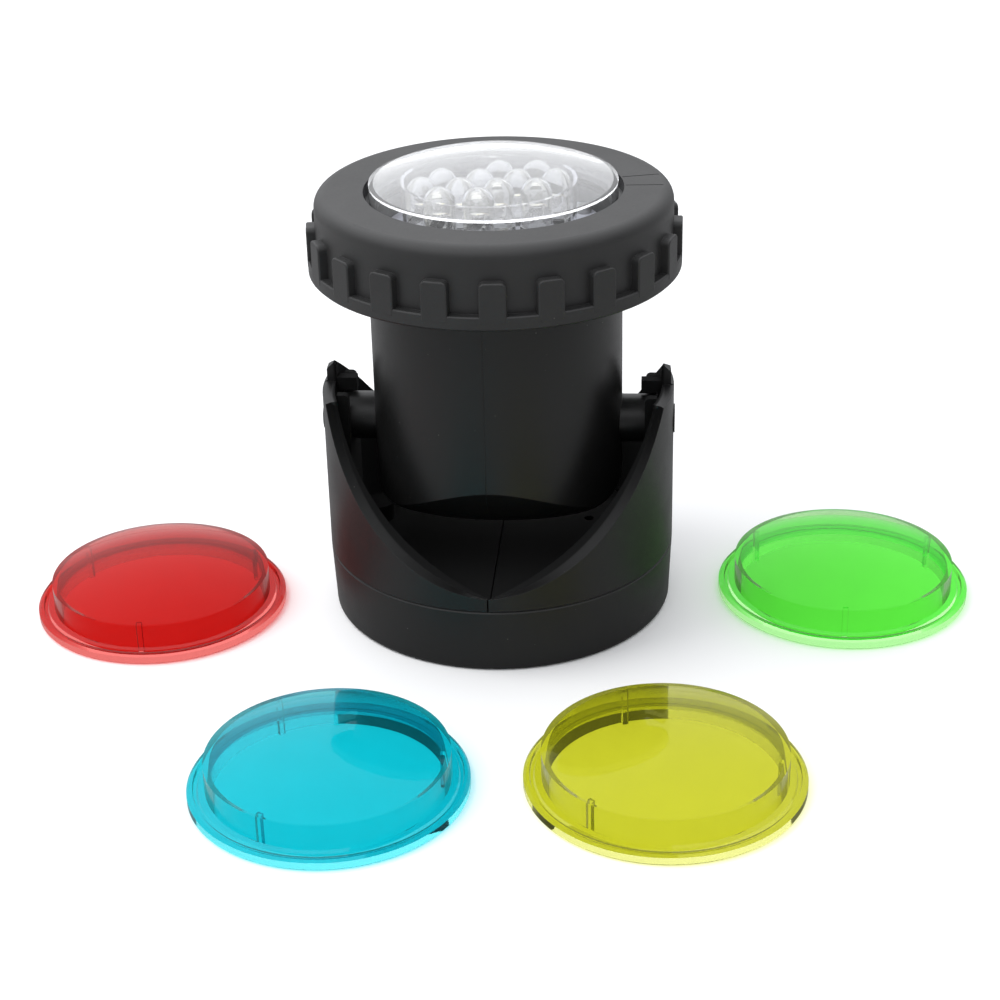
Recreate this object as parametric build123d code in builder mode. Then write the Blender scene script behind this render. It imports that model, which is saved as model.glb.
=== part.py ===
from build123d import *
import os
from math import cos, pi, radians, sin

# Underwater pond light with a tilting head and four spare coloured lenses. Millimetres.
# Z is the lamp axis, X is the tilt axis, the front is -Y, and the light stands on z = 0.

# --- Weighted base ring -------------------------------------------------------------
RING_R = 29.0              # outside radius at the seam with the shells
RING_FOOT_R = 28.5         # outside radius at the ground
RING_TOP = 10.9            # height of the seam
RING_DECK = (7.5, 9.2)     # the ring's inner deck, bottom and top
RING_BORE_R = 26.4         # inside radius below the deck
COVER_T = 1.4
BALLAST_T = 4.2
SCREW_R = 1.25             # thread-forming base screws
SCREW_AT = (21.8, 5.0)     # x, y of each screw, mirrored to four
DRAIN_AT = (14.7, 5.4)     # small drain hole through the right-hand floor

# --- Base shells: two halves split on the plane x = 0 ---------------------------------
SHELL_R = 29.0
SHELL_FOOT_R = 25.5        # inside radius at the seam; the wall thins towards the ears
SHELL_EAR_R = 27.8         # inside radius at the top of the ears
FLOOR_R = 26.7
EAR_TOP = 41.6             # top of the rear half of each ear
EAR_FRONT_TOP = 38.2       # the front half is cut off flat here
EAR_REAR_SLOPE = ((0.9, 41.6), (8.4, 36.3), (15.0, 28.8))   # y, z of the curved rear slope
EAR_BEVEL = 1.2
EAR_STEP = 0.5             # the rear half steps in above the flat top
CLIP_Z = (36.6, 38.8, 40.7)     # bottom of the clip, top of its bar, top of its post
SPLIT_GAP = 0.12           # each half stops this far short of the split plane
SEAM_CHAMFER = 0.25

# The notch is described by the angle round the lamp axis from straight ahead.
NOTCH_HALF_ANGLE = 72.0
NOTCH_OUTER = (13.3, 0.04, 0.0044)     # outer edge: height, slope per degree, curvature
NOTCH_INNER = (11.7, 0.205, 0.0019)    # inner edge, a sharper V
NOTCH_WALL = (26.0, 29.0)  # radii at which those two edges are given

# --- Tilt axis ----------------------------------------------------------------------
PIVOT_Z = 32.2
TRUNNION_R = 4.0
PIVOT_CLEARANCE = 0.05
STUB_R = 2.4               # trunnion end, seen from outside through the ear
STUB_END_X = 29.2
BLOCK_X = 24.3             # inner face of each pivot block
BLOCK_HALF_Y = 5.5
BLOCK_Z = (16.0, 38.0)
BLOCK_BACK_X = (25.1, 26.2)     # outer face of the block at its foot and at its top

# --- Lamp housing ---------------------------------------------------------------------
HOUSING_R = 20.5
HOUSING_BORE_R = 17.0
HOUSING_FLOOR_Z = 26.0
UNDERSIDE_RISE = 6.8       # centre of the round underside above the tilt axis
# Half profile of the barrel-shaped underside: x across, and radius about that centre line.
UNDERSIDE = ((0, 23.4), (7.0, 23.1), (13.0, 22.2), (16.8, 20.9), (19.2, 18.6), (20.9, 14.5))
HEAD_R = 24.8              # threaded head under the collar
HEAD_BOTTOM = 60.4
HEAD_SHOULDER = 63.0
HEAD_TOP = 68.0
BOARD_SEAT_Z = 63.6
BOARD_RECESS_R = 18.3

# --- Locking collar -------------------------------------------------------------------
COLLAR_BOTTOM = 59.3
COLLAR_TOP = 72.0
COLLAR_R = 28.6
COLLAR_RIB_R = 30.0
COLLAR_BORE_R = 25.1
COLLAR_LIP_Z = 70.0
COLLAR_OPENING_R = 20.7
COLLAR_EDGE_R = 2.0
RIB_COUNT = 21
RIB_WIDTH = 4.2
RIB_TOP = 67.0
RIB_PHASE = -86.1          # one rib sits just right of straight ahead
RIM_TOP = 61.7

# --- Clear lens -----------------------------------------------------------------------
GASKET_TOP = 69.0
LENS_FLANGE_R = 24.4
LENS_FLANGE_TOP = 69.7
LENS_NECK_R = 19.8
LENS_NECK_TOP = 73.3
LENS_APEX = 77.1
LENS_WALL = 1.0

# --- LED cluster ----------------------------------------------------------------------
CLUSTER_X = -0.7           # the cluster stands a little left of the axis
LED_R = 2.5
LED_FLANGE_R = 2.65
LED_PITCH = 6.0            # spacing along a row
LED_ROW_PITCH = 4.65
LED_ROWS = (2, 4, 4, 2)    # front to back
LED_ROW_SHIFT = 2.75       # each row's middle is this much further right than the last
LED_BASE_Z = 65.7
LED_TOP_Z = 73.8
BOARD_T = 1.6
BOARD_SCREW_AT = 16.4      # radius of the three board screws
BOARD_R = 18.2
SLEEVE_R = 13.9
SLEEVE_WALL = 0.6
SLEEVE_TOP = 72.9

# --- Cable gland on the rear of the housing ---------------------------------------------
GLAND_Z = 47.0
GLAND_THREAD_R = 4.0
GLAND_PAD_Y = 21.5         # flat pad on the housing wall
GLAND_FLANGE_R = 6.0
GLAND_END_Y = 28.5
CABLE_R = 2.6

# --- Spare coloured lenses, lying on the ground in front of the lamp ----------------------
FILTER_R = 21.0
FILTER_NECK_R = 18.3
FILTER_FLANGE_T = 1.7
FILTER_NECK_TOP = 5.9
FILTER_APEX = 9.7
FILTER_WALL = 1.1
FILTER_RIB = (0.9, 0.7)    # width, depth of the three inner ribs
FILTERS = {
    "filter_red": (-57.9, -8.0, 30.0),
    "filter_green": (58.1, 1.3, -92.0),
    "filter_blue": (-21.1, -62.7, -116.0),
    "filter_amber": (28.5, -59.2, -128.0),
}

os.makedirs("parts", exist_ok=True)


def dome_section(radius, start_z, apex_z, wall, foot_z):
    """Half section of a dished cap on a short neck, drawn in the open BuildLine."""
    rise = apex_z - start_z
    sphere_r = (radius**2 + rise**2) / (2 * rise)
    inner_r = radius - wall
    inner_sphere = sphere_r - wall
    inner_start = apex_z - sphere_r + (inner_sphere**2 - inner_r**2) ** 0.5
    middle = radius / 2
    outer_mid = apex_z - sphere_r + (sphere_r**2 - middle**2) ** 0.5
    inner_mid = apex_z - sphere_r + (inner_sphere**2 - middle**2) ** 0.5
    ThreePointArc((0, apex_z), (middle, outer_mid), (radius, start_z))
    Line((radius, start_z), (radius, foot_z))
    Line((inner_r, foot_z), (inner_r, inner_start))
    ThreePointArc((inner_r, inner_start), (middle, inner_mid), (0, apex_z - wall))
    Line((0, apex_z - wall), (0, apex_z))


# =======================================================================================
# Base ring, ballast and cover
# =======================================================================================
with BuildPart() as base_ring:
    with BuildSketch(Plane.XZ):
        with BuildLine():
            Polyline(
                (RING_BORE_R, 0),
                (RING_FOOT_R, 0),
                (RING_R, RING_TOP),
                (FLOOR_R + 0.1, RING_TOP),
                (FLOOR_R + 0.1, RING_DECK[1]),
                (0, RING_DECK[1]),
                (0, RING_DECK[0]),
                (RING_BORE_R, RING_DECK[0]),
                close=True,
            )
        make_face()
    revolve(axis=Axis.Z)
    foot_edge = base_ring.edges().filter_by(GeomType.CIRCLE).group_by(Axis.Z)[0].sort_by(SortBy.RADIUS)[-1]
    fillet(foot_edge, radius=0.8)
    seam_circles = base_ring.edges().filter_by(GeomType.CIRCLE).filter_by_position(
        Axis.Z, RING_TOP - 0.01, RING_TOP + 0.01
    )
    chamfer(seam_circles.sort_by(SortBy.RADIUS)[-1], length=SEAM_CHAMFER)
    with Locations((0, 0, RING_DECK[0])):
        with GridLocations(2 * SCREW_AT[0], 2 * SCREW_AT[1], 2, 2):
            Hole(SCREW_R + 0.15)
    with Locations((DRAIN_AT[0], DRAIN_AT[1], RING_DECK[1])):
        Cylinder(0.8, 6, mode=Mode.SUBTRACT)

with BuildPart() as ballast_disc:
    with Locations((0, 0, COVER_T)):
        Cylinder(
            RING_BORE_R - 0.1, BALLAST_T, align=(Align.CENTER, Align.CENTER, Align.MIN)
        )

with BuildPart() as ring_cover:
    Cylinder(RING_BORE_R, COVER_T, align=(Align.CENTER, Align.CENTER, Align.MIN))

# =======================================================================================
# Base shells
# =======================================================================================
FLOOR_Z = (RING_DECK[1], 10.6)
BOSS_TOP = 13.6


def edge_height(curve, angle):
    height, slope, curvature = curve
    return height + slope * angle + curvature * angle**2


def notch_edge(radius):
    """The notch outline round the lamp axis at one radius, from straight ahead to the ear."""
    reach = (radius - NOTCH_WALL[0]) / (NOTCH_WALL[1] - NOTCH_WALL[0])
    points = []
    for step in range(9):
        angle = NOTCH_HALF_ANGLE * step / 8
        inner = edge_height(NOTCH_INNER, angle)
        height = inner + (edge_height(NOTCH_OUTER, angle) - inner) * reach
        points.append(
            Vector(radius * sin(radians(angle)), -radius * cos(radians(angle)), height)
        )
    return Edge.make_spline(points, parameters=[step / 8 for step in range(9)])


def notch_solid():
    """Everything above the notch surface, out to the ears, on the right-hand side."""
    near, far = notch_edge(20.0), notch_edge(32.0)
    top = EAR_TOP + 5
    lower = Face.make_surface_from_curves(near, far)

    def wall(edge):
        above = [Vector(point.X, point.Y, top) for point in (edge @ (k / 8) for k in range(9))]
        up = Edge.make_spline(above, parameters=[k / 8 for k in range(9)])
        return up, Face.make_surface_from_curves(edge, up)

    near_top, near_wall = wall(near)
    far_top, far_wall = wall(far)
    lid = Face.make_surface_from_curves(near_top, far_top)
    ends = [
        Face(Wire([
            Edge.make_line(near @ end, far @ end),
            Edge.make_line(far @ end, far_top @ end),
            Edge.make_line(far_top @ end, near_top @ end),
            Edge.make_line(near_top @ end, near @ end),
        ]))
        for end in (0, 1)
    ]
    return Solid(Shell([lower, near_wall, far_wall, lid, *ends]))


notch_cutter = notch_solid()

with BuildPart() as shell_half:
    with BuildSketch(Plane.XZ):
        with BuildLine():
            Polyline(
                (SHELL_FOOT_R, RING_TOP),
                (SHELL_R, RING_TOP),
                (SHELL_R, EAR_FRONT_TOP),
                (SHELL_R - EAR_STEP, EAR_FRONT_TOP + 0.2),
                (SHELL_R - EAR_STEP, EAR_TOP - EAR_BEVEL),
                (SHELL_R - EAR_STEP - EAR_BEVEL, EAR_TOP),
                (SHELL_EAR_R - 0.6, EAR_TOP),
                close=True,
            )
        make_face()
    revolve(axis=Axis.Z)
    seam_edge = shell_half.edges().filter_by(GeomType.CIRCLE).group_by(Axis.Z)[0].sort_by(SortBy.RADIUS)[-1]
    chamfer(seam_edge, length=SEAM_CHAMFER)
    split(bisect_by=Plane.YZ.offset(SPLIT_GAP), keep=Keep.TOP)
    add(notch_cutter, mode=Mode.SUBTRACT)
    add(notch_cutter.mirror(Plane.XZ), mode=Mode.SUBTRACT)
    # The front half of the ear is cut off flat, the rear half slopes down to the back.
    with Locations((SHELL_R / 2, 0, EAR_FRONT_TOP)):
        Box(
            SHELL_R + 2, SHELL_R + 2, EAR_TOP, align=(Align.CENTER, Align.MAX, Align.MIN),
            mode=Mode.SUBTRACT,
        )
    with BuildSketch(Plane.YZ):
        with BuildLine():
            slope_start, slope_middle, slope_end = EAR_REAR_SLOPE
            ThreePointArc(slope_start, slope_middle, slope_end)
            Polyline(
                slope_end,
                (SHELL_R + 2, slope_end[1] - 20),
                (SHELL_R + 2, EAR_TOP + 5),
                (slope_start[0], EAR_TOP + 5),
                slope_start,
            )
        make_face()
    extrude(amount=SHELL_R + 2, mode=Mode.SUBTRACT)
    # Floor, with a root fillet ring and two screw bosses.
    with BuildSketch(Plane.XY.offset(FLOOR_Z[0])):
        Circle(FLOOR_R)
        with Locations((SPLIT_GAP, 0)):
            Rectangle(
                2 * FLOOR_R, 2 * FLOOR_R, align=(Align.MAX, Align.CENTER), mode=Mode.SUBTRACT
            )
    extrude(amount=FLOOR_Z[1] - FLOOR_Z[0])
    with BuildSketch(Plane.XY.offset(FLOOR_Z[0])):
        with BuildLine():
            CenterArc((0, 0), SHELL_FOOT_R + 0.4, -90, 180)
            CenterArc((0, 0), SHELL_FOOT_R - 0.4, -90, 180)
            Line((0, SHELL_FOOT_R - 0.4), (0, SHELL_FOOT_R + 0.4))
            Line((0, -SHELL_FOOT_R - 0.4), (0, -SHELL_FOOT_R + 0.4))
        make_face()
        with Locations((SPLIT_GAP, 0)):
            Rectangle(
                2 * FLOOR_R, 2 * FLOOR_R, align=(Align.MAX, Align.CENTER), mode=Mode.SUBTRACT
            )
    extrude(amount=RING_TOP + 0.5 - FLOOR_Z[0])
    with Locations(*[(SCREW_AT[0], side * SCREW_AT[1], FLOOR_Z[0]) for side in (-1, 1)]):
        Cylinder(2.8, BOSS_TOP - FLOOR_Z[0], align=(Align.CENTER, Align.CENTER, Align.MIN))
        Cylinder(
            SCREW_R, BOSS_TOP - 1.0 - FLOOR_Z[0],
            align=(Align.CENTER, Align.CENTER, Align.MIN), mode=Mode.SUBTRACT,
        )
    # L-shaped clip: a post on the ear and a bar over the trunnion.
    with Locations((SHELL_R - EAR_STEP - 0.1, 0.1, CLIP_Z[0])):
        Box(1.5, 1.9, CLIP_Z[2] - CLIP_Z[0], align=(Align.MAX, Align.MIN, Align.MIN))
        Box(4.8, 1.9, CLIP_Z[1] - CLIP_Z[0], align=(Align.MAX, Align.MIN, Align.MIN))
    # Hole for the trunnion's end, and the pocket for the pivot block's tongue.
    with Locations(Location((SHELL_R + 1, 0, PIVOT_Z), (0, 90, 0))):
        Cylinder(STUB_R + 0.35, 8, mode=Mode.SUBTRACT)
    with Locations((25.0, 0, 18.0)):
        Box(2.7, 5.0, 8.0, align=(Align.MIN, Align.CENTER, Align.MIN), mode=Mode.SUBTRACT)

with BuildPart() as base_shell_left:
    add(shell_half.part.mirror(Plane.YZ))

with BuildPart() as base_shell_right:
    add(shell_half.part)
    with Locations((DRAIN_AT[0], DRAIN_AT[1], FLOOR_Z[0])):
        Cylinder(0.8, 6, mode=Mode.SUBTRACT)

with BuildPart() as base_screws:
    with Locations((0, 0, RING_DECK[0])):
        with GridLocations(2 * SCREW_AT[0], 2 * SCREW_AT[1], 2, 2):
            Cylinder(2.3, 1.6, align=(Align.CENTER, Align.CENTER, Align.MAX))
            Cylinder(SCREW_R, 5.0, align=(Align.CENTER, Align.CENTER, Align.MIN))

# =======================================================================================
# Pivot blocks: upright saddles inside the ears, open at the top
# =======================================================================================
with BuildPart() as pivot_block_right:
    with BuildSketch(Plane.XZ):
        with BuildLine():
            Polyline(
                (BLOCK_X, BLOCK_Z[0]),
                (BLOCK_X, BLOCK_Z[1]),
                (BLOCK_BACK_X[1], BLOCK_Z[1]),
                (BLOCK_BACK_X[0], BLOCK_Z[0]),
                close=True,
            )
        make_face()
    extrude(amount=BLOCK_HALF_Y, both=True)
    inner_top = (
        pivot_block_right.edges().filter_by(Axis.Y).group_by(Axis.Z)[-1].sort_by(Axis.X)[0]
    )
    fillet(inner_top, radius=0.8)
    with Locations((24.6, 0, 18.0)):
        Box(3.0, 5.0, 8.0, align=(Align.MIN, Align.CENTER, Align.MIN))
    with Locations(Location((BLOCK_X, 0, PIVOT_Z), (0, 90, 0))):
        Cylinder(TRUNNION_R + PIVOT_CLEARANCE, 10, mode=Mode.SUBTRACT)
    with Locations((BLOCK_X, 0, PIVOT_Z)):
        Box(
            10, 2 * (TRUNNION_R + PIVOT_CLEARANCE), 10,
            align=(Align.CENTER, Align.CENTER, Align.MIN), mode=Mode.SUBTRACT,
        )

with BuildPart() as pivot_block_left:
    add(pivot_block_right.part.mirror(Plane.YZ))

# =======================================================================================
# Lamp housing
# =======================================================================================
with BuildPart() as underside_form:
    barrel_z = PIVOT_Z + UNDERSIDE_RISE
    with BuildSketch(Plane.XZ):
        with BuildLine():
            half = [(x, barrel_z - radius) for x, radius in UNDERSIDE]
            curve = Spline(*[(-x, z) for x, z in half[:0:-1]], *half)
            Polyline(curve @ 1, ((curve @ 1).X, barrel_z), ((curve @ 0).X, barrel_z), curve @ 0)
        make_face()
    revolve(axis=Axis((0, 0, barrel_z), (1, 0, 0)))
    with Locations((0, 0, barrel_z)):
        Cylinder(HEAD_R + 5, HEAD_TOP, align=(Align.CENTER, Align.CENTER, Align.MIN))

with BuildPart() as lamp_housing:
    with BuildSketch(Plane.XZ):
        with BuildLine():
            Polyline(
                (0, PIVOT_Z - HOUSING_R),
                (HOUSING_R, PIVOT_Z - HOUSING_R),
                (HOUSING_R, HEAD_BOTTOM),
                (HEAD_R, HEAD_SHOULDER),
                (HEAD_R, HEAD_TOP),
                (0, HEAD_TOP),
                close=True,
            )
        make_face()
    revolve(axis=Axis.Z)
    add(underside_form.part, mode=Mode.INTERSECT)
    # Gland pad on the rear wall, and the trunnions.
    with Locations(Location((0, HOUSING_BORE_R + 1, GLAND_Z), (-90, 0, 0))):
        Cylinder(
            GLAND_FLANGE_R + 0.6, GLAND_PAD_Y - HOUSING_BORE_R - 1,
            align=(Align.CENTER, Align.CENTER, Align.MIN),
        )
    for side in (-1, 1):
        with Locations(Location((side * 19.0, 0, PIVOT_Z), (0, side * 90, 0))):
            Cylinder(TRUNNION_R, 6.9, align=(Align.CENTER, Align.CENTER, Align.MIN))
            Cylinder(STUB_R, STUB_END_X - 19.0, align=(Align.CENTER, Align.CENTER, Align.MIN))
    # Inside: cavity, board seat and gland hole.
    with Locations((0, 0, HOUSING_FLOOR_Z)):
        Cylinder(
            HOUSING_BORE_R, HEAD_TOP, align=(Align.CENTER, Align.CENTER, Align.MIN),
            mode=Mode.SUBTRACT,
        )
    with Locations((0, 0, BOARD_SEAT_Z)):
        Cylinder(
            BOARD_RECESS_R, HEAD_TOP, align=(Align.CENTER, Align.CENTER, Align.MIN),
            mode=Mode.SUBTRACT,
        )
        with PolarLocations(BOARD_SCREW_AT, 3, start_angle=30):
            Cylinder(2.2, 6.0, align=(Align.CENTER, Align.CENTER, Align.MAX))
            Cylinder(
                0.9, 4.0, align=(Align.CENTER, Align.CENTER, Align.MAX), mode=Mode.SUBTRACT
            )
    with Locations(Location((0, HOUSING_R, GLAND_Z), (90, 0, 0))):
        Cylinder(GLAND_THREAD_R, 12, mode=Mode.SUBTRACT)

with BuildPart() as potting_block:
    with Locations((0, 0, HOUSING_FLOOR_Z)):
        Cylinder(HOUSING_BORE_R, 10.0, align=(Align.CENTER, Align.CENTER, Align.MIN))

with BuildPart() as lens_gasket:
    with BuildSketch(Plane.XY.offset(HEAD_TOP)):
        Circle(LENS_FLANGE_R - 0.2)
        Circle(LENS_NECK_R, mode=Mode.SUBTRACT)
    extrude(amount=GASKET_TOP - HEAD_TOP)

# =======================================================================================
# LED board
# =======================================================================================
led_places = [
    (
        CLUSTER_X + (row - 1.5) * LED_ROW_SHIFT + (column - (count - 1) / 2) * LED_PITCH,
        (row - 1.5) * LED_ROW_PITCH,
    )
    for row, count in enumerate(LED_ROWS)
    for column in range(count)
]
pin_places = [(x + side * 1.27, y) for x, y in led_places for side in (-1, 1)]

with BuildPart() as led_board:
    with BuildSketch(Plane.XY.offset(BOARD_SEAT_Z)):
        Circle(BOARD_R)
        with Locations(*pin_places):
            Circle(0.4, mode=Mode.SUBTRACT)
        with PolarLocations(BOARD_SCREW_AT, 3, start_angle=30):
            Circle(1.0, mode=Mode.SUBTRACT)
    extrude(amount=BOARD_T)

BOARD_TOP = BOARD_SEAT_Z + BOARD_T

with BuildPart() as led_lamp:
    with BuildSketch(Plane.XZ):
        with BuildLine():
            Polyline(
                (0, LED_BASE_Z),
                (LED_FLANGE_R, LED_BASE_Z),
                (LED_FLANGE_R, LED_BASE_Z + 1),
                (LED_R, LED_BASE_Z + 1),
                (LED_R, LED_TOP_Z - LED_R),
            )
            ThreePointArc(
                (LED_R, LED_TOP_Z - LED_R),
                (LED_R * cos(pi / 4), LED_TOP_Z - LED_R + LED_R * sin(pi / 4)),
                (0, LED_TOP_Z),
            )
            Line((0, LED_TOP_Z), (0, LED_BASE_Z))
        make_face()
    revolve(axis=Axis.Z)

with BuildPart() as led_lamps:
    with Locations(*led_places):
        add(led_lamp.part)

with BuildPart() as led_pins:
    with BuildSketch(Plane.XY.offset(BOARD_SEAT_Z - 1.8)):
        with Locations(*pin_places):
            Rectangle(0.5, 0.5)
    extrude(amount=LED_BASE_Z - BOARD_SEAT_Z + 1.8)

with BuildPart() as board_screws:
    with Locations((0, 0, BOARD_TOP)):
        with PolarLocations(BOARD_SCREW_AT, 3, start_angle=30):
            Cylinder(1.3, 1.0, align=(Align.CENTER, Align.CENTER, Align.MIN))
            Cylinder(0.9, 5.0, align=(Align.CENTER, Align.CENTER, Align.MAX))

with BuildPart() as led_sleeve:
    with BuildSketch(Plane.XY.offset(BOARD_TOP)):
        with Locations((CLUSTER_X, 0)):
            Circle(SLEEVE_R)
            Circle(SLEEVE_R - SLEEVE_WALL, mode=Mode.SUBTRACT)
    extrude(amount=SLEEVE_TOP - BOARD_TOP)

with BuildPart() as resistors:
    for y in (-11.0, 11.0):
        with Locations(Location((CLUSTER_X, y, BOARD_SEAT_Z - 1.3), (0, 90, 0))):
            Cylinder(1.1, 6.2)
    for x in (-14.0, 13.0):
        with Locations(Location((x, 0, BOARD_SEAT_Z - 1.3), (90, 0, 0))):
            Cylinder(1.1, 6.2)

with BuildPart() as board_wires:
    for side in (-1, 1):
        with BuildLine() as route:
            Spline(
                (side * 1.2, 8.6, BOARD_SEAT_Z),
                (side * 1.6, 8.0, 56.0),
                (side * 1.2, 14.0, GLAND_Z),
                tangents=((0, 0, -1), (0, 1, 0)),
            )
        with BuildSketch(Plane(origin=route.line @ 0, z_dir=(0, 0, -1))):
            Circle(0.7)
        sweep(path=route.line)

# =======================================================================================
# Cable gland
# =======================================================================================
GLAND_INNER_Y = 13.2

with BuildPart() as cable_gland:
    with BuildSketch(Plane.YZ):
        with BuildLine():
            Polyline(
                (GLAND_INNER_Y, GLAND_Z + 3.2),
                (GLAND_INNER_Y, GLAND_Z + GLAND_THREAD_R),
                (GLAND_PAD_Y, GLAND_Z + GLAND_THREAD_R),
                (GLAND_PAD_Y, GLAND_Z + GLAND_FLANGE_R),
                (GLAND_PAD_Y + 2.6, GLAND_Z + GLAND_FLANGE_R),
                (GLAND_PAD_Y + 3.2, GLAND_Z + 5.0),
                (GLAND_END_Y, GLAND_Z + 3.8),
                (GLAND_END_Y, GLAND_Z + CABLE_R),
                (GLAND_PAD_Y + 2.5, GLAND_Z + CABLE_R),
                (GLAND_PAD_Y + 2.5, GLAND_Z + 3.2),
                close=True,
            )
        make_face()
    revolve(axis=Axis((0, 0, GLAND_Z), (0, 1, 0)))

with BuildPart() as gland_grommet:
    with Locations(Location((0, 15.0, GLAND_Z), (-90, 0, 0))):
        Cylinder(
            3.2, GLAND_PAD_Y + 2.5 - 15.0, align=(Align.CENTER, Align.CENTER, Align.MIN)
        )
        Cylinder(
            CABLE_R, GLAND_PAD_Y + 2.5 - 15.0,
            align=(Align.CENTER, Align.CENTER, Align.MIN), mode=Mode.SUBTRACT,
        )

with BuildPart() as gland_nut:
    with BuildSketch(Plane.XZ.offset(-15.6)):
        with Locations((0, GLAND_Z)):
            RegularPolygon(6.0, 6)
            Circle(GLAND_THREAD_R, mode=Mode.SUBTRACT)
    extrude(amount=2.2)

# =======================================================================================
# Clear lens and locking collar
# =======================================================================================
with BuildPart() as clear_lens:
    with BuildSketch(Plane.XZ):
        with BuildLine():
            dome_section(LENS_NECK_R, LENS_NECK_TOP, LENS_APEX, LENS_WALL, LENS_FLANGE_TOP)
            Polyline(
                (LENS_NECK_R, LENS_FLANGE_TOP),
                (LENS_FLANGE_R, LENS_FLANGE_TOP),
                (LENS_FLANGE_R, GASKET_TOP),
                (LENS_NECK_R - LENS_WALL, GASKET_TOP),
                (LENS_NECK_R - LENS_WALL, LENS_FLANGE_TOP),
            )
        make_face()
    revolve(axis=Axis.Z)

with BuildPart() as locking_collar:
    with BuildSketch(Plane.XZ):
        with BuildLine():
            Polyline(
                (COLLAR_BORE_R, COLLAR_BOTTOM),
                (COLLAR_RIB_R - 0.4, COLLAR_BOTTOM),
                (COLLAR_RIB_R, COLLAR_BOTTOM + 0.4),
                (COLLAR_RIB_R, RIM_TOP - 0.2),
                (COLLAR_RIB_R - 0.2, RIM_TOP),
                (COLLAR_R, RIM_TOP),
                (COLLAR_R, COLLAR_TOP),
                (COLLAR_OPENING_R, COLLAR_TOP),
                (COLLAR_OPENING_R, COLLAR_LIP_Z),
                (COLLAR_BORE_R, COLLAR_LIP_Z),
                close=True,
            )
        make_face()
    revolve(axis=Axis.Z)
    top_circles = locking_collar.edges().filter_by(GeomType.CIRCLE).group_by(Axis.Z)[-1]
    fillet(top_circles.sort_by(SortBy.RADIUS)[-1], radius=COLLAR_EDGE_R)
    # Grip ribs: upright pads that stand on the lower rim.
    with BuildPart(mode=Mode.PRIVATE) as rib:
        with BuildSketch(Plane.YZ.offset(COLLAR_R - 0.6)):
            with Locations((0, RIM_TOP - 1.0)):
                Rectangle(
                    RIB_WIDTH, RIB_TOP - RIM_TOP + 1.0, align=(Align.CENTER, Align.MIN)
                )
        extrude(amount=COLLAR_RIB_R - COLLAR_R + 0.6)
        fillet(rib.edges().filter_by(Axis.X).group_by(Axis.Z)[-1], radius=0.9)
        outer_edges = rib.faces().sort_by(Axis.X)[-1].edges()
        fillet(outer_edges.sort_by(Axis.Z)[1:], radius=0.3)
    with PolarLocations(0, RIB_COUNT, start_angle=RIB_PHASE):
        add(rib.part)
    # Shallow joint line of the moulding on the top face.
    with Locations((0, 0, COLLAR_TOP)):
        Cylinder(
            COLLAR_OPENING_R + 0.5, 0.3, arc_size=23.0, rotation=(0, 0, 3.0),
            mode=Mode.SUBTRACT,
        )
        with PolarLocations(COLLAR_OPENING_R + 0.2, 2, start_angle=3.0, angular_range=23.0):
            Box(
                6.0, 0.22, 0.3, align=(Align.MIN, Align.CENTER, Align.CENTER),
                mode=Mode.SUBTRACT,
            )


# =======================================================================================
# Spare coloured lenses
# =======================================================================================
def coloured_lens(place_x, place_y, rib_angle):
    """One moulded filter: stepped flange, short neck, shallow dome, three inner ribs."""
    inner_r = FILTER_NECK_R - FILTER_WALL
    with BuildPart() as lens:
        with BuildSketch(Plane.XZ):
            with BuildLine():
                dome_section(
                    FILTER_NECK_R, FILTER_NECK_TOP, FILTER_APEX, FILTER_WALL, FILTER_FLANGE_T
                )
                Polyline(
                    (FILTER_NECK_R, FILTER_FLANGE_T),
                    (FILTER_R - 1.7, FILTER_FLANGE_T),
                    (FILTER_R - 1.5, FILTER_FLANGE_T - 0.5),
                    (FILTER_R - 1.1, FILTER_FLANGE_T - 0.5),
                    (FILTER_R - 0.9, FILTER_FLANGE_T + 0.2),
                    (FILTER_R - 0.4, FILTER_FLANGE_T + 0.2),
                    (FILTER_R, FILTER_FLANGE_T - 0.3),
                    (FILTER_R, 0.3),
                    (FILTER_R - 0.3, 0),
                    (inner_r, 0),
                    (inner_r, FILTER_FLANGE_T),
                )
            make_face()
        revolve(axis=Axis.Z)
        with PolarLocations(inner_r - FILTER_RIB[1], 3, start_angle=rib_angle):
            Box(
                FILTER_RIB[1] + 0.4, FILTER_RIB[0], FILTER_NECK_TOP - 0.6,
                align=(Align.MIN, Align.CENTER, Align.MIN),
            )
    return Pos(place_x, place_y, 0) * lens.part


# =======================================================================================
# Save every piece as its own node
# =======================================================================================
pieces = {
    "base_ring": base_ring.part,
    "ballast_disc": ballast_disc.part,
    "ring_cover": ring_cover.part,
    "base_shell_left": base_shell_left.part,
    "base_shell_right": base_shell_right.part,
    "base_screws": base_screws.part,
    "pivot_block_left": pivot_block_left.part,
    "pivot_block_right": pivot_block_right.part,
    "lamp_housing": lamp_housing.part,
    "potting_block": potting_block.part,
    "lens_gasket": lens_gasket.part,
    "led_board": led_board.part,
    "led_lamps": led_lamps.part,
    "led_pins": led_pins.part,
    "board_screws": board_screws.part,
    "led_sleeve": led_sleeve.part,
    "resistors": resistors.part,
    "board_wires": board_wires.part,
    "cable_gland": cable_gland.part,
    "gland_grommet": gland_grommet.part,
    "gland_nut": gland_nut.part,
    "clear_lens": clear_lens.part,
    "locking_collar": locking_collar.part,
}
for name, (place_x, place_y, rib_angle) in FILTERS.items():
    pieces[name] = coloured_lens(place_x, place_y, rib_angle)

for name, piece in pieces.items():
    piece.label = name
    export_step(piece, f"parts/{name}.step")
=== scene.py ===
import math
import random

import bmesh
import bpy
from mathutils import Matrix, Vector


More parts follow.
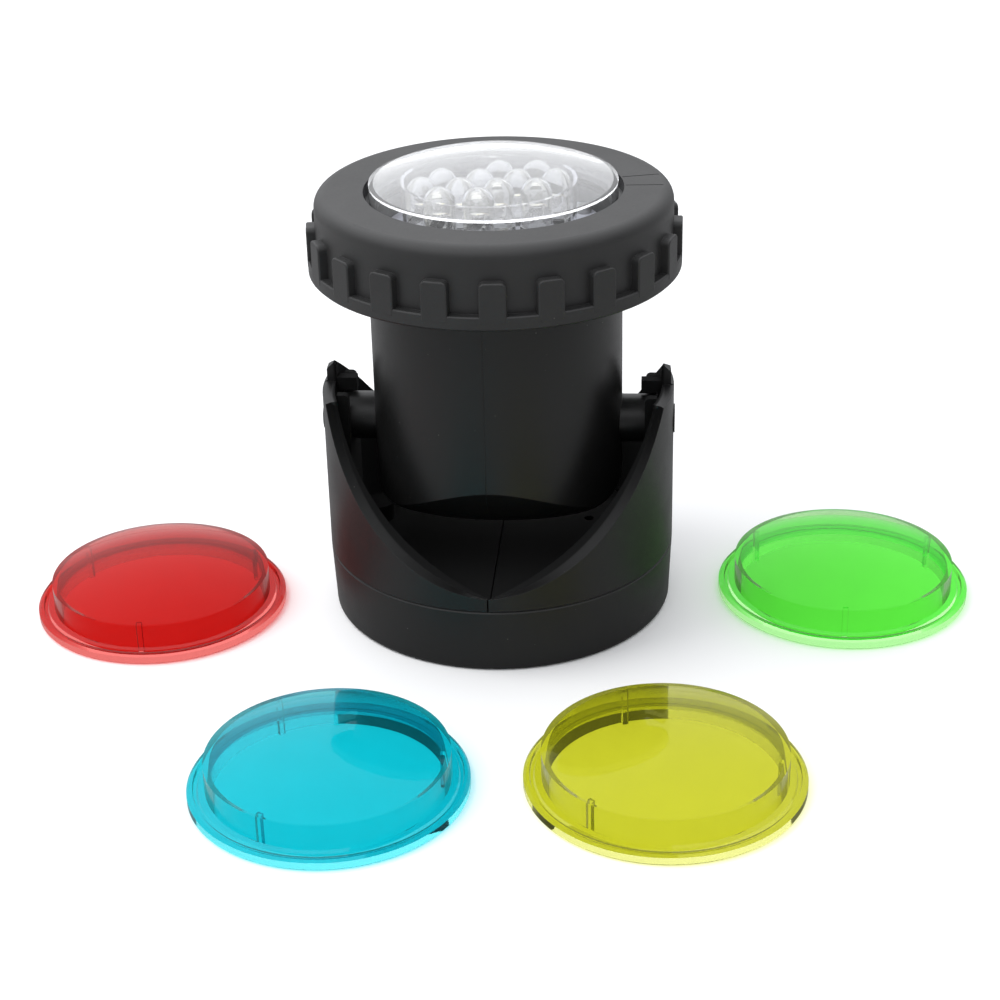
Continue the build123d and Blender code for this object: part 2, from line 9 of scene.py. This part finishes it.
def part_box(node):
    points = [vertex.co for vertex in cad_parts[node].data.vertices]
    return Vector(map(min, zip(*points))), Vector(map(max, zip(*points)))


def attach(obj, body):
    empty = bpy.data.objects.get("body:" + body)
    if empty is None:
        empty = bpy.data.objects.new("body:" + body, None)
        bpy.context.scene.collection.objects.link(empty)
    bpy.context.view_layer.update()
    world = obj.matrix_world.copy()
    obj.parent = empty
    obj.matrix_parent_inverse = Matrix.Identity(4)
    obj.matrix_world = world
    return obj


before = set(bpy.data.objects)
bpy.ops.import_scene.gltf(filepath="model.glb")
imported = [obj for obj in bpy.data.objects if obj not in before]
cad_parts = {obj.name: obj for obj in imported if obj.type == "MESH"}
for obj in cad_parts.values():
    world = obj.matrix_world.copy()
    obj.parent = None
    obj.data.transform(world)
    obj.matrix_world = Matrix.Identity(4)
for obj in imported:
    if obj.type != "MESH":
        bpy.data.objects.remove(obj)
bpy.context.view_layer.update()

random.seed(21)
MM = 0.001
DUST = (0.07, 0.07, 0.068, 1)
SPECK = (0.14, 0.135, 0.125, 1)
BROKEN_EDGE = 0.12 * MM
# Painted shade for the inside of the base: its near-black tone and the width of its fade.
PAINTED_SHADE_TONE = 0.0012
PAINTED_SHADE_BLEND = 0.6 * MM


# ---------------------------------------------------------------------------------------
# Node helpers
# ---------------------------------------------------------------------------------------
class Tree:
    """A new node material with its Principled shader, and short calls to add nodes to it."""

    def __init__(self, name):
        self.mat = bpy.data.materials.new(name)
        self.mat.use_nodes = True
        self.nt = self.mat.node_tree
        self.bsdf = self.nt.nodes["Principled BSDF"]
        self.out = self.nt.nodes["Material Output"]
        self.place = self.nt.nodes.new("ShaderNodeTexCoord").outputs["Object"]

    def node(self, kind, **inputs):
        n = self.nt.nodes.new(kind)
        for key, value in inputs.items():
            self.put(n.inputs[key.replace("_", " ")], value)
        return n

    def put(self, socket, value):
        if isinstance(value, bpy.types.NodeSocket):
            self.nt.links.new(value, socket)
        else:
            socket.default_value = value

    def set(self, **inputs):
        for key, value in inputs.items():
            self.put(self.bsdf.inputs[key.replace("_", " ")], value)

    def noise(self, scale, detail=2.0, rough=0.5, where=None):
        n = self.node("ShaderNodeTexNoise", Scale=scale, Detail=detail, Roughness=rough)
        self.nt.links.new(where or self.place, n.inputs["Vector"])
        return n.outputs["Fac"]

    def ramp(self, value, low, high, out_low=0.0, out_high=1.0):
        n = self.node("ShaderNodeMapRange")
        n.inputs["From Min"].default_value = low
        n.inputs["From Max"].default_value = high
        n.inputs["To Min"].default_value = out_low
        n.inputs["To Max"].default_value = out_high
        self.nt.links.new(value, n.inputs["Value"])
        return n.outputs["Result"]

    def mix(self, share, a, b):
        n = self.nt.nodes.new("ShaderNodeMix")
        n.data_type = "RGBA"
        self.put(n.inputs["Factor"], share)
        self.put(n.inputs["A"], a)
        self.put(n.inputs["B"], b)
        return n.outputs["Result"]

    def math(self, what, a, b=0.0):
        n = self.nt.nodes.new("ShaderNodeMath")
        n.operation = what
        self.put(n.inputs[0], a)
        self.put(n.inputs[1], b)
        return n.outputs["Value"]

    def bump(self, height, distance, strength=1.0, under=None):
        n = self.node("ShaderNodeBump", Height=height, Distance=distance, Strength=strength)
        if under is not None:
            self.nt.links.new(under, n.inputs["Normal"])
        return n.outputs["Normal"]

    def surface_mix(self, share, first, second):
        """Shows first, and second where share is 1, as the finished surface."""
        n = self.nt.nodes.new("ShaderNodeMixShader")
        self.put(n.inputs[0], share)
        self.nt.links.new(first, n.inputs[1])
        self.nt.links.new(second, n.inputs[2])
        self.nt.links.new(n.outputs[0], self.out.inputs["Surface"])

    def rounded(self, radius):
        n = self.nt.nodes.new("ShaderNodeBevel")
        n.inputs["Radius"].default_value = radius
        return n.outputs["Normal"]


class Sky(Tree):
    """The studio around the object: bright overhead and behind, dim in front and to the right."""

    def __init__(self, tree):
        self.nt = tree
        self.place = tree.nodes.new("ShaderNodeTexCoord").outputs["Generated"]


def grey(v):
    return (v, v, v, 1.0)


def black_plastic(name, tone, rough, grain_scale, grain_depth, specks=0.0, gloss=0.5, painted_shade_radius=None):
    """
    Moulded black plastic: grain, uneven gloss, dusty specks, and slightly broken edges. Within
    the given radius it is rougher and painted darker: painted shade for the inside of the base.
    """
    t = Tree(name)
    grain = t.noise(grain_scale, 3.0, 0.6)
    patches = t.noise(90.0, 4.0, 0.6)
    scuffs = t.noise(900.0, 5.0, 0.75)
    colour = t.mix(t.ramp(patches, 0.3, 0.75), grey(tone * 0.85), grey(tone * 1.2))
    if specks:
        cells = t.node("ShaderNodeTexVoronoi", Scale=820.0)
        t.nt.links.new(t.place, cells.inputs["Vector"])
        dots = t.ramp(cells.outputs["Distance"], 0.04, 0.09, 1.0, 0.0)
        few = t.math("GREATER_THAN", t.noise(1400.0, 0.0), 1.0 - specks)
        colour = t.mix(t.math("MULTIPLY", dots, few), colour, SPECK)
    dust = t.math("MULTIPLY", t.ramp(scuffs, 0.62, 0.8), t.ramp(patches, 0.5, 0.7))
    colour = t.mix(t.math("MULTIPLY", dust, 0.22), colour, DUST)
    uneven = t.math("ADD", patches, t.math("MULTIPLY", grain, 0.5))
    roughness = t.ramp(uneven, 0.5, 1.0, rough - 0.05, rough + 0.07)
    # Painted shade: inside the radius the colour fades to a near-black tone, standing in for the shade
    # inside the base.
    if painted_shade_radius:
        split = t.nt.nodes.new("ShaderNodeSeparateXYZ")
        t.nt.links.new(t.place, split.inputs["Vector"])
        x, y = split.outputs["X"], split.outputs["Y"]
        reach = t.math("SQRT", t.math("ADD", t.math("MULTIPLY", x, x), t.math("MULTIPLY", y, y)))
        beyond_painted_shade = t.ramp(reach, painted_shade_radius, painted_shade_radius + PAINTED_SHADE_BLEND)
        colour = t.mix(beyond_painted_shade, grey(PAINTED_SHADE_TONE), colour)
        roughness = t.math("MAXIMUM", roughness, t.ramp(beyond_painted_shade, 0.0, 1.0, 1.0, 0.0))
    normal = t.bump(grain, grain_depth, 0.8, t.rounded(BROKEN_EDGE))
    t.set(Base_Color=colour, Roughness=roughness, Normal=normal, Specular_IOR_Level=gloss)
    return t.mat


def clear_plastic(name, tint, ior=1.49, rough=0.0, gloss=0.5, clear=1.0):
    """Transparent moulding. tint is what one wall leaves of white light, 1 - clear is the cloudy share."""
    t = Tree(name)
    swirl = t.noise(160.0, 2.0, 0.4)
    shade = t.ramp(t.noise(240.0, 3.0, 0.55), 0.3, 0.7, 0.0, 1.0)
    colour = t.mix(shade, (*(0.97 * c for c in tint), 1), (*tint, 1))
    t.set(Base_Color=colour, Roughness=rough, IOR=ior, Transmission_Weight=clear)
    t.set(Specular_IOR_Level=gloss, Normal=t.bump(swirl, 0.05 * MM, 0.25))
    # Lamp light goes straight through and takes the tint, so that the floor is lit in colour.
    through = t.node("ShaderNodeBsdfTransparent", Color=(*(c**0.25 for c in tint), 1))
    path = t.nt.nodes.new("ShaderNodeLightPath")
    straight = t.math("MAXIMUM", path.outputs["Is Shadow Ray"], path.outputs["Is Diffuse Ray"])
    t.surface_mix(straight, t.bsdf.outputs[0], through.outputs[0])
    return t.mat


def metal(name, colour, rough):
    t = Tree(name)
    lines = t.noise(1800.0, 4.0, 0.7)
    t.set(
        Base_Color=t.mix(t.ramp(lines, 0.3, 0.7), tuple(0.8 * c for c in colour) + (1,), (*colour, 1)),
        Metallic=1.0, Roughness=t.ramp(lines, 0.3, 0.7, rough - 0.08, rough + 0.1),
        Normal=t.bump(lines, 0.01 * MM, 0.5),
    )
    return t.mat


def solid_plastic(name, dark, light, rough, scale=700.0, depth=0.02 * MM):
    t = Tree(name)
    blotch = t.noise(scale, 3.0, 0.6)
    t.set(
        Base_Color=t.mix(t.ramp(blotch, 0.3, 0.7), (*dark, 1), (*light, 1)),
        Roughness=t.ramp(blotch, 0.3, 0.7, rough - 0.05, rough + 0.08),
        Normal=t.bump(blotch, depth, 0.6),
    )
    return t.mat


# ---------------------------------------------------------------------------------------
# Materials of the CAD nodes
# ---------------------------------------------------------------------------------------
# The shell's black is painted darker within 27.2 mm of the axis: painted shade for the inside of the base.
shell_black_painted_shade = black_plastic("shell_black_painted_shade", 0.0075, 0.42, 3000.0, 0.014 * MM, specks=0.30,
                            painted_shade_radius=27.2 * MM)
housing_black = black_plastic("housing_black", 0.0070, 0.37, 2100.0, 0.008 * MM, specks=0.34)
# Painted light: the collar's black is lighter than the other black parts, standing in for its brightly lit
# top.
collar_black = black_plastic("collar_black", 0.028, 0.46, 3300.0, 0.022 * MM, specks=0.26)
# Painted shade: the cover's black is darker than the shell's, for the shaded floor inside the base.
cover_black_painted_shade = black_plastic("cover_black_painted_shade", 0.003, 0.60, 2400.0, 0.010 * MM, specks=0.12, gloss=0.12)
rubber = black_plastic("rubber", 0.010, 0.65, 1500.0, 0.010 * MM)
cast_iron = solid_plastic("cast_iron", (0.05, 0.05, 0.05), (0.10, 0.10, 0.095), 0.7, 500.0, 0.1 * MM)
resin = solid_plastic("resin", (0.010, 0.010, 0.010), (0.016, 0.016, 0.016), 0.18, 120.0)
steel = metal("steel", (0.55, 0.55, 0.53), 0.32)
tin = metal("tin", (0.82, 0.80, 0.74), 0.28)
board_grey = solid_plastic("board_grey", (0.42, 0.43, 0.50), (0.50, 0.51, 0.57), 0.35, 420.0)
resistor_tan = solid_plastic("resistor_tan", (0.58, 0.45, 0.26), (0.66, 0.54, 0.34), 0.35)
wire_red = solid_plastic("wire_red", (0.45, 0.03, 0.025), (0.55, 0.05, 0.04), 0.45)
epoxy = clear_plastic("epoxy", (0.84, 0.84, 0.80), ior=1.45, rough=0.02, clear=0.96)
sleeve_clear = clear_plastic("sleeve_clear", (0.97, 0.97, 0.97), ior=1.12, rough=0.05, clear=0.97)
lens_clear = clear_plastic("lens_clear", (0.985, 0.99, 0.995), ior=1.42, gloss=0.8, clear=0.90)
lens_red = clear_plastic("lens_red", (0.62, 0.030, 0.025), ior=1.18, clear=0.95)
lens_green = clear_plastic("lens_green", (0.22, 0.88, 0.13), ior=1.18, clear=0.95)
lens_blue = clear_plastic("lens_blue", (0.020, 0.60, 0.68), ior=1.18, clear=0.95)
lens_amber = clear_plastic("lens_amber", (0.65, 0.66, 0.075), ior=1.18, clear=0.95)

FINISHES = {
    "base_ring": shell_black_painted_shade, "ring_cover": cover_black_painted_shade,
    "base_shell_left": shell_black_painted_shade, "base_shell_right": shell_black_painted_shade,
    "pivot_block_left": shell_black_painted_shade, "pivot_block_right": shell_black_painted_shade,
    "ballast_disc": cast_iron, "base_screws": steel, "board_screws": steel,
    "lamp_housing": housing_black, "cable_gland": housing_black, "gland_nut": housing_black,
    "potting_block": resin, "lens_gasket": rubber, "gland_grommet": rubber,
    "locking_collar": collar_black, "led_board": board_grey, "led_lamps": epoxy,
    "led_pins": tin, "led_sleeve": sleeve_clear, "resistors": resistor_tan,
    "board_wires": wire_red, "clear_lens": lens_clear, "filter_red": lens_red,
    "filter_green": lens_green, "filter_blue": lens_blue, "filter_amber": lens_amber,
}
for name, material in FINISHES.items():
    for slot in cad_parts[name].material_slots:
        slot.material = material
# Clear pieces aren't seen in reflections: no coloured smudges on the black, no dark trapped light.
for name in ("clear_lens", "led_sleeve", "led_lamps", "filter_red", "filter_green", "filter_blue",
             "filter_amber"):
    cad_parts[name].visible_glossy = False


# ---------------------------------------------------------------------------------------
# Mesh helpers
# ---------------------------------------------------------------------------------------
def piece(name, bm, body, material, smooth=True):
    bmesh.ops.recalc_face_normals(bm, faces=bm.faces)
    mesh = bpy.data.meshes.new(name)
    bm.to_mesh(mesh)
    bm.free()
    mesh.materials.append(material)
    for face in mesh.polygons:
        face.use_smooth = smooth
    obj = bpy.data.objects.new(name, mesh)
    bpy.context.scene.collection.objects.link(obj)
    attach(obj, body)
    return obj


def lathe(bm, profile, centre, steps=24):
    """Revolves (radius, z) points about an upright axis through centre. Radius 0 closes to a point."""
    rings = []
    for radius, z in profile:
        if radius < 1e-9:
            rings.append([bm.verts.new((centre[0], centre[1], z))])
        else:
            rings.append([
                bm.verts.new((
                    centre[0] + radius * math.cos(2 * math.pi * k / steps),
                    centre[1] + radius * math.sin(2 * math.pi * k / steps), z,
                ))
                for k in range(steps)
            ])
    for low, high in zip(rings, rings[1:]):
        for k in range(steps):
            corners = (low[k % len(low)], low[(k + 1) % len(low)],
                       high[(k + 1) % len(high)], high[k % len(high)])
            unique = list(dict.fromkeys(corners))
            if len(unique) > 2:
                bm.faces.new(unique)


def plate(bm, outline, thickness, place):
    """An upright plate: (across, z) outline, extruded both ways, put in place by a matrix."""
    sides = []
    for half in (-thickness / 2, thickness / 2):
        sides.append([bm.verts.new(place @ Vector((x, half, z))) for x, z in outline])
    bm.faces.new(sides[0][::-1])
    bm.faces.new(sides[1])
    n = len(outline)
    for k in range(n):
        bm.faces.new((sides[0][k], sides[0][(k + 1) % n], sides[1][(k + 1) % n], sides[1][k]))


# ---------------------------------------------------------------------------------------
# Inside each LED: lead frame with its reflector cup, the post, the die and its bond wire
# ---------------------------------------------------------------------------------------
def led_centres():
    """The middle of each LED on the board, from the CAD node's separate solids."""
    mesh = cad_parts["led_lamps"].data
    bm = bmesh.new()
    bm.from_mesh(mesh)
    bmesh.ops.remove_doubles(bm, verts=bm.verts, dist=0.001 * MM)
    seen, centres = set(), []
    for start in bm.verts:
        if start.index in seen:
            continue
        stack, found = [start], []
        seen.add(start.index)
        while stack:
            v = stack.pop()
            found.append(v.co)
            for e in v.link_edges:
                other = e.other_vert(v)
                if other.index not in seen:
                    seen.add(other.index)
                    stack.append(other)
        centres.append((
            (min(c.x for c in found) + max(c.x for c in found)) / 2,
            (min(c.y for c in found) + max(c.y for c in found)) / 2,
        ))
    bm.free()
    return sorted(centres, key=lambda c: (round(c[1], 5), c[0]))


LED_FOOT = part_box("led_lamps")[0].z
centres = led_centres()
frames, cups, dies, wires = bmesh.new(), bmesh.new(), bmesh.new(), bmesh.new()
for x, y in centres:
    turn = Matrix.Translation((x, y, LED_FOOT)) @ Matrix.Rotation(random.uniform(-0.12, 0.12), 4, "Z")
    anvil = [(-1.50, 0.02), (-1.05, 0.02), (-1.05, 1.2), (0.10, 2.0), (0.62, 3.0), (0.62, 3.75),
             (-0.72, 3.75), (-0.80, 3.2), (-1.50, 1.7)]
    post = [(1.05, 0.02), (1.50, 0.02), (1.50, 2.4), (1.25, 3.9), (0.92, 3.9), (0.92, 2.9),
            (0.62, 2.2), (1.05, 1.5)]
    for outline in (anvil, post):
        plate(frames, [(a * MM, b * MM) for a, b in outline], 0.45 * MM, turn)
    lathe(cups, [(0.25 * MM, LED_FOOT + 3.74 * MM), (0.68 * MM, LED_FOOT + 3.76 * MM),
                 (0.80 * MM, LED_FOOT + 4.25 * MM), (0.70 * MM, LED_FOOT + 4.27 * MM),
                 (0.42 * MM, LED_FOOT + 3.95 * MM), (0, LED_FOOT + 3.93 * MM)], (x - 0.05 * MM, y), 20)
    die = [(-0.17, 3.94), (0.17, 3.94), (0.17, 4.14), (-0.17, 4.14)]
    plate(dies, [((a - 0.05) * MM, b * MM) for a, b in die], 0.34 * MM, turn)
    loop = [(-0.05 + 1.15 * s, 4.13 - 0.24 * s + 1.3 * s * (1 - s)) for s in (k / 8 for k in range(9))]
    band = [(a * MM, (b + 0.05) * MM) for a, b in loop] + [(a * MM, b * MM) for a, b in loop[::-1]]
    plate(wires, band, 0.05 * MM, turn)
gold = metal("gold", (0.75, 0.55, 0.25), 0.3)
silver = metal("silver", (0.78, 0.77, 0.73), 0.22)
phosphor = solid_plastic("phosphor", (0.70, 0.66, 0.30), (0.80, 0.76, 0.38), 0.6, 3000.0)
piece("led_leadframes", frames, "head", silver, smooth=False)
piece("led_cups", cups, "head", silver)
piece("led_dies", dies, "head", phosphor, smooth=False)
piece("led_bond_wires", wires, "head", gold, smooth=False)


# ---------------------------------------------------------------------------------------
# Parting line of the housing: a fine raised line down the front and round underneath to the back
# ---------------------------------------------------------------------------------------
HOUSING_R = 20.5 * MM
PARTING_X = -0.6 * MM
UNDER_R = 23.4 * MM
UNDER_Z = 39.0 * MM
NECK_Z = 60.3 * MM
RIDGE_WIDTH = 0.16 * MM
RIDGE_HEIGHT = 0.035 * MM


def ridge(bm, path, width, height):
    """A raised line: path holds (point, outward direction) pairs on the plane x = constant."""
    rows = []
    for point, out in path:
        side = Vector((1, 0, 0))
        rows.append([
            bm.verts.new(point - side * width / 2 - out * height),
            bm.verts.new(point - side * width * 0.28 + out * height),
            bm.verts.new(point + side * width * 0.28 + out * height),
            bm.verts.new(point + side * width / 2 - out * height),
        ])
    for a, b in zip(rows, rows[1:]):
        for k in range(4):
            bm.faces.new((a[k], a[(k + 1) % 4], b[(k + 1) % 4], b[k]))
    bm.faces.new(rows[0][::-1])
    bm.faces.new(rows[-1])


parting = bmesh.new()
half = math.sqrt(HOUSING_R**2 - PARTING_X**2)
start_angle = math.acos(min(1.0, half / UNDER_R))
front = []
for k in range(9):
    z = NECK_Z + (UNDER_Z - UNDER_R * math.sin(start_angle) - NECK_Z) * k / 8
    front.append((Vector((PARTING_X, -half, z)), Vector((0, -1, 0))))
under = []
for k in range(1, 40):
    a = start_angle + (math.pi - 2 * start_angle) * k / 40
    out = Vector((0, -math.cos(a), -math.sin(a)))
    under.append((Vector((PARTING_X, 0, UNDER_Z)) + out * UNDER_R, out))
ridge(parting, front + under, RIDGE_WIDTH, RIDGE_HEIGHT)
piece("housing_parting_line", parting, "head", housing_black)


# ---------------------------------------------------------------------------------------
# Camera, light and floor
# ---------------------------------------------------------------------------------------
CAMERA_PLACE = (0.02886, -0.33030, 0.18210)
CAMERA_TURN = (5.024, -26.534, -1.414)    # yaw, pitch and roll in degrees
FLOOR_HALF = 3.0
FLOOR_Z = -0.00005
camera = bpy.data.objects.new("camera", bpy.data.cameras.new("camera"))
bpy.context.scene.collection.objects.link(camera)
bpy.context.scene.camera = camera
camera.location = CAMERA_PLACE
yaw, pitch, roll = (math.radians(a) for a in CAMERA_TURN)
forward = Vector((-math.sin(yaw) * math.cos(pitch), math.cos(yaw) * math.cos(pitch), math.sin(pitch)))
right = Vector((math.cos(yaw), math.sin(yaw), 0))
upward = right.cross(forward)
turned_right = right * math.cos(roll) + upward * math.sin(roll)
turned_up = -right * math.sin(roll) + upward * math.cos(roll)
camera.matrix_world = Matrix.Translation(camera.location) @ Matrix((
    (turned_right.x, turned_up.x, -forward.x),
    (turned_right.y, turned_up.y, -forward.y),
    (turned_right.z, turned_up.z, -forward.z),
)).to_4x4()
camera.data.sensor_width = 36.0
camera.data.lens = 78.6
camera.data.clip_start = 0.01

floor_mesh = bmesh.new()
bmesh.ops.create_grid(floor_mesh, x_segments=1, y_segments=1, size=FLOOR_HALF)
floor_data = bpy.data.meshes.new("floor")
floor_mesh.to_mesh(floor_data)
floor_mesh.free()
floor = bpy.data.objects.new("floor", floor_data)
bpy.context.scene.collection.objects.link(floor)
floor.location.z = FLOOR_Z
paper = Tree("paper")
paper.set(Base_Color=grey(0.92), Roughness=0.9)
# The sweep stays white to the camera and through the lenses, but lights the object only a little.
dim = paper.node("ShaderNodeBsdfDiffuse", Color=grey(0.38))
path = paper.nt.nodes.new("ShaderNodeLightPath")
mirrored = paper.math("SUBTRACT", path.outputs["Is Glossy Ray"], path.outputs["Is Transmission Ray"])
share = paper.math("MAXIMUM", path.outputs["Is Diffuse Ray"], mirrored)
paper.surface_mix(share, paper.bsdf.outputs[0], dim.outputs[0])
floor_data.materials.append(paper.mat)


def softbox(name, place, target, size, power, colour=(1, 1, 1)):
    light = bpy.data.lights.new(name, "AREA")
    light.shape = "RECTANGLE"
    light.size, light.size_y = size
    light.energy = power
    light.color = colour
    obj = bpy.data.objects.new(name, light)
    bpy.context.scene.collection.objects.link(obj)
    obj.location = place
    obj.visible_glossy = obj.visible_transmission = False
    obj.rotation_euler = (Vector(target) - Vector(place)).to_track_quat("-Z", "Y").to_euler()
    return obj


softbox("key", (-0.60, -0.10, 0.75), (0, 0, 0.03), (0.6, 0.6), 4.0)

world = bpy.data.worlds.new("studio")
bpy.context.scene.world = world
world.use_nodes = True

sky = Sky(world.node_tree)
split = sky.nt.nodes.new("ShaderNodeSeparateXYZ")
sky.nt.links.new(sky.place, split.inputs["Vector"])
overhead = sky.ramp(split.outputs["Z"], 0.30, 0.85, 0.0, 1.15)
behind = sky.ramp(split.outputs["Y"], 0.0, 0.8, 0.30, 0.86)
left = sky.ramp(split.outputs["X"], 0.7, -0.7, 0.76, 1.24)
strength = sky.math("MULTIPLY", sky.math("ADD", overhead, behind), left)
# The backdrop itself is white above the sweep; only the light that it throws is uneven.
seen = sky.nt.nodes.new("ShaderNodeLightPath").outputs["Is Camera Ray"]
strength = sky.math("MAXIMUM", strength, sky.math("MULTIPLY", seen, 1.1))
background = sky.nt.nodes["Background"]
background.inputs["Color"].default_value = (0.965, 0.975, 1.0, 1)
sky.put(background.inputs["Strength"], strength)
bpy.context.scene.view_settings.view_transform = "Standard"

bpy.context.view_layer.update()
